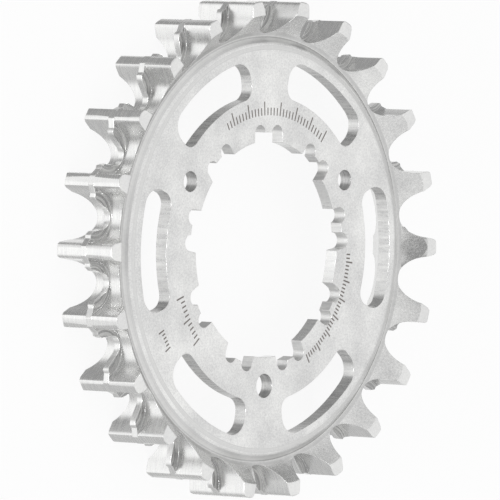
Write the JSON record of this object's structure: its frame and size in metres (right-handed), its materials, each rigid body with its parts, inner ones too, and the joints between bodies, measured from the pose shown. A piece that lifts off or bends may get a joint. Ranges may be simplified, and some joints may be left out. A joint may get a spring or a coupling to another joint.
{
  "type": "belt drive sprocket",
  "caption": "Rear sprocket for a toothed bicycle drive belt: dished steel plate with curved slots, splined bore, and scooped teeth joined by a middle tracking web",
  "frame": {"origin": "On the axis of rotation, in the plane of the back ends of the teeth, on which the part lies.", "axes": "+Z is the axis of rotation and points out of the plate's flat front face, away from the wheel. A tooth and a slot are centred on +X. A groove of the bore spline is centred on +Y, and the larger of the plate's holes is on -Y."},
  "size_m": [0.0756, 0.0752, 0.011],
  "materials": {
    "steel": "satin machined stainless steel"
  },
  "bodies": {
    "root": {"belt_sprocket": "steel"}
  },
  "joints": []
}
